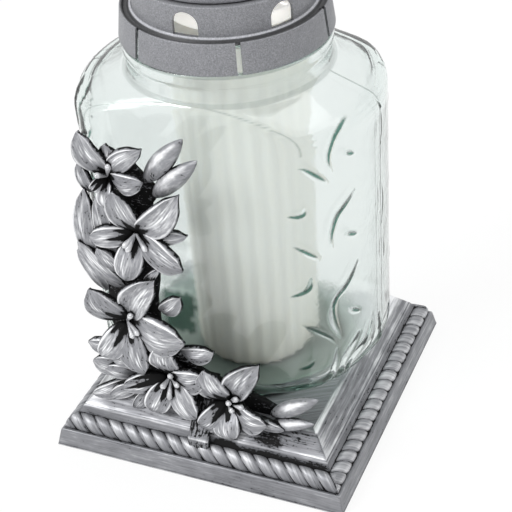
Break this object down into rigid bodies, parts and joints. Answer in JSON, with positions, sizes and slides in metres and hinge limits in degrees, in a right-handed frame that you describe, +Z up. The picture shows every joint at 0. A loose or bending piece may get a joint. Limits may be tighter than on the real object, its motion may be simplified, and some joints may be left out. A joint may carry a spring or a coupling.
{
  "type": "candle lantern",
  "caption": "Glass grave lantern: clear flat-fronted jar on a square rope-edged plinth with a lily garland, a vented lift-off cap and a candle refill inside.",
  "frame": {"origin": "centre of the plinth's underside, on the surface that the lantern stands on", "axes": "+Z up through the jar and the cap, the garland side faces -Y, +X to the right seen from the front"},
  "size_m": [0.144, 0.144, 0.2606],
  "materials": {
    "brushed_silver_plinth": "black moulding dry-brushed with silver paint",
    "brushed_silver_garland": "black moulding dry-brushed with silver paint",
    "pressed_glass": "clear pressed glass with a pale green tint",
    "grey_cap_plastic": "fine speckled grey, satin",
    "milky_cup_plastic": "translucent white, satin",
    "white_lid_plastic": "white, satin",
    "paraffin": "white paraffin, waxy",
    "tin_plate": "thin bright tin",
    "cotton_wick": "braided cotton"
  },
  "bodies": {
    "stand": {"base_plinth": "brushed_silver_plinth", "lily_garland": "brushed_silver_garland", "glass_jar": "pressed_glass"},
    "cap": {"cap_collar": "grey_cap_plastic", "cap_roof": "grey_cap_plastic"},
    "refill": {"refill_cup": "milky_cup_plastic", "refill_lid": "white_lid_plastic", "refill_wax": "paraffin", "wick_sustainer": "tin_plate", "refill_wick": "cotton_wick"}
  },
  "joints": [
    {"name": "cap_lift", "type": "slide", "parent": "stand", "child": "cap", "axis": [0, 0, 1], "range_m": [0, 0.26]},
    {"name": "refill_lift", "type": "slide", "parent": "stand", "child": "refill", "axis": [0, 0, 1], "range_m": [0, 0.21]}
  ],
  "couplings": [
    {"joint": "refill_lift", "follows": "cap_lift", "ratio": 0.8}
  ]
}
